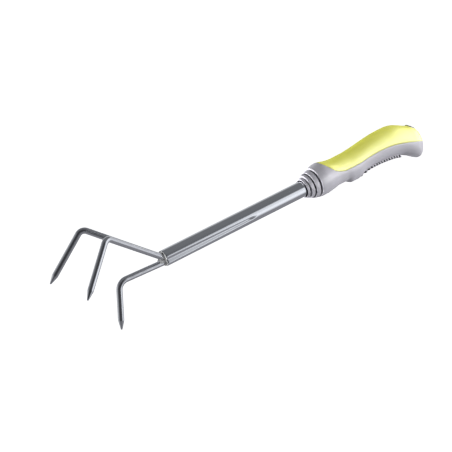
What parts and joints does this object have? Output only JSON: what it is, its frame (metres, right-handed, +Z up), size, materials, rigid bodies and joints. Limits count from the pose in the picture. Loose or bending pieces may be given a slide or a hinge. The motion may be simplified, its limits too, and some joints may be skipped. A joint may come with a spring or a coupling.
{
  "type": "hand cultivator",
  "caption": "Hand cultivator with bent round-rod tines on a fluted steel tube and a curved two-colour grip with a stepped collar.",
  "frame": {"origin": "under the middle of the tool, level with the lowest tine tip", "axes": "+X along the shaft toward the tines, +Z up out of the back of the grip, +Y to the left looking along +X; the tool is mirrored about y = 0"},
  "size_m": [0.4154, 0.0768, 0.0983],
  "materials": {
    "tube_steel": "polished steel tube",
    "tine_steel": "polished steel rod with ground points",
    "weld_steel": "rough weld metal",
    "hard_plastic": "lilac-grey moulded plastic, fine satin texture",
    "soft_rubber": "lime soft-touch moulding"
  },
  "bodies": {
    "root": {"shaft_tube": "tube_steel", "head_plug": "weld_steel", "tail_plug": "hard_plastic", "centre_tine": "tine_steel", "left_tine": "tine_steel", "right_tine": "tine_steel", "root_weld": "weld_steel", "bellows_collar": "hard_plastic", "handle_body": "hard_plastic", "grip_insert": "soft_rubber", "hang_eyelet": "hard_plastic", "finger_ribs": "hard_plastic"}
  },
  "joints": []
}
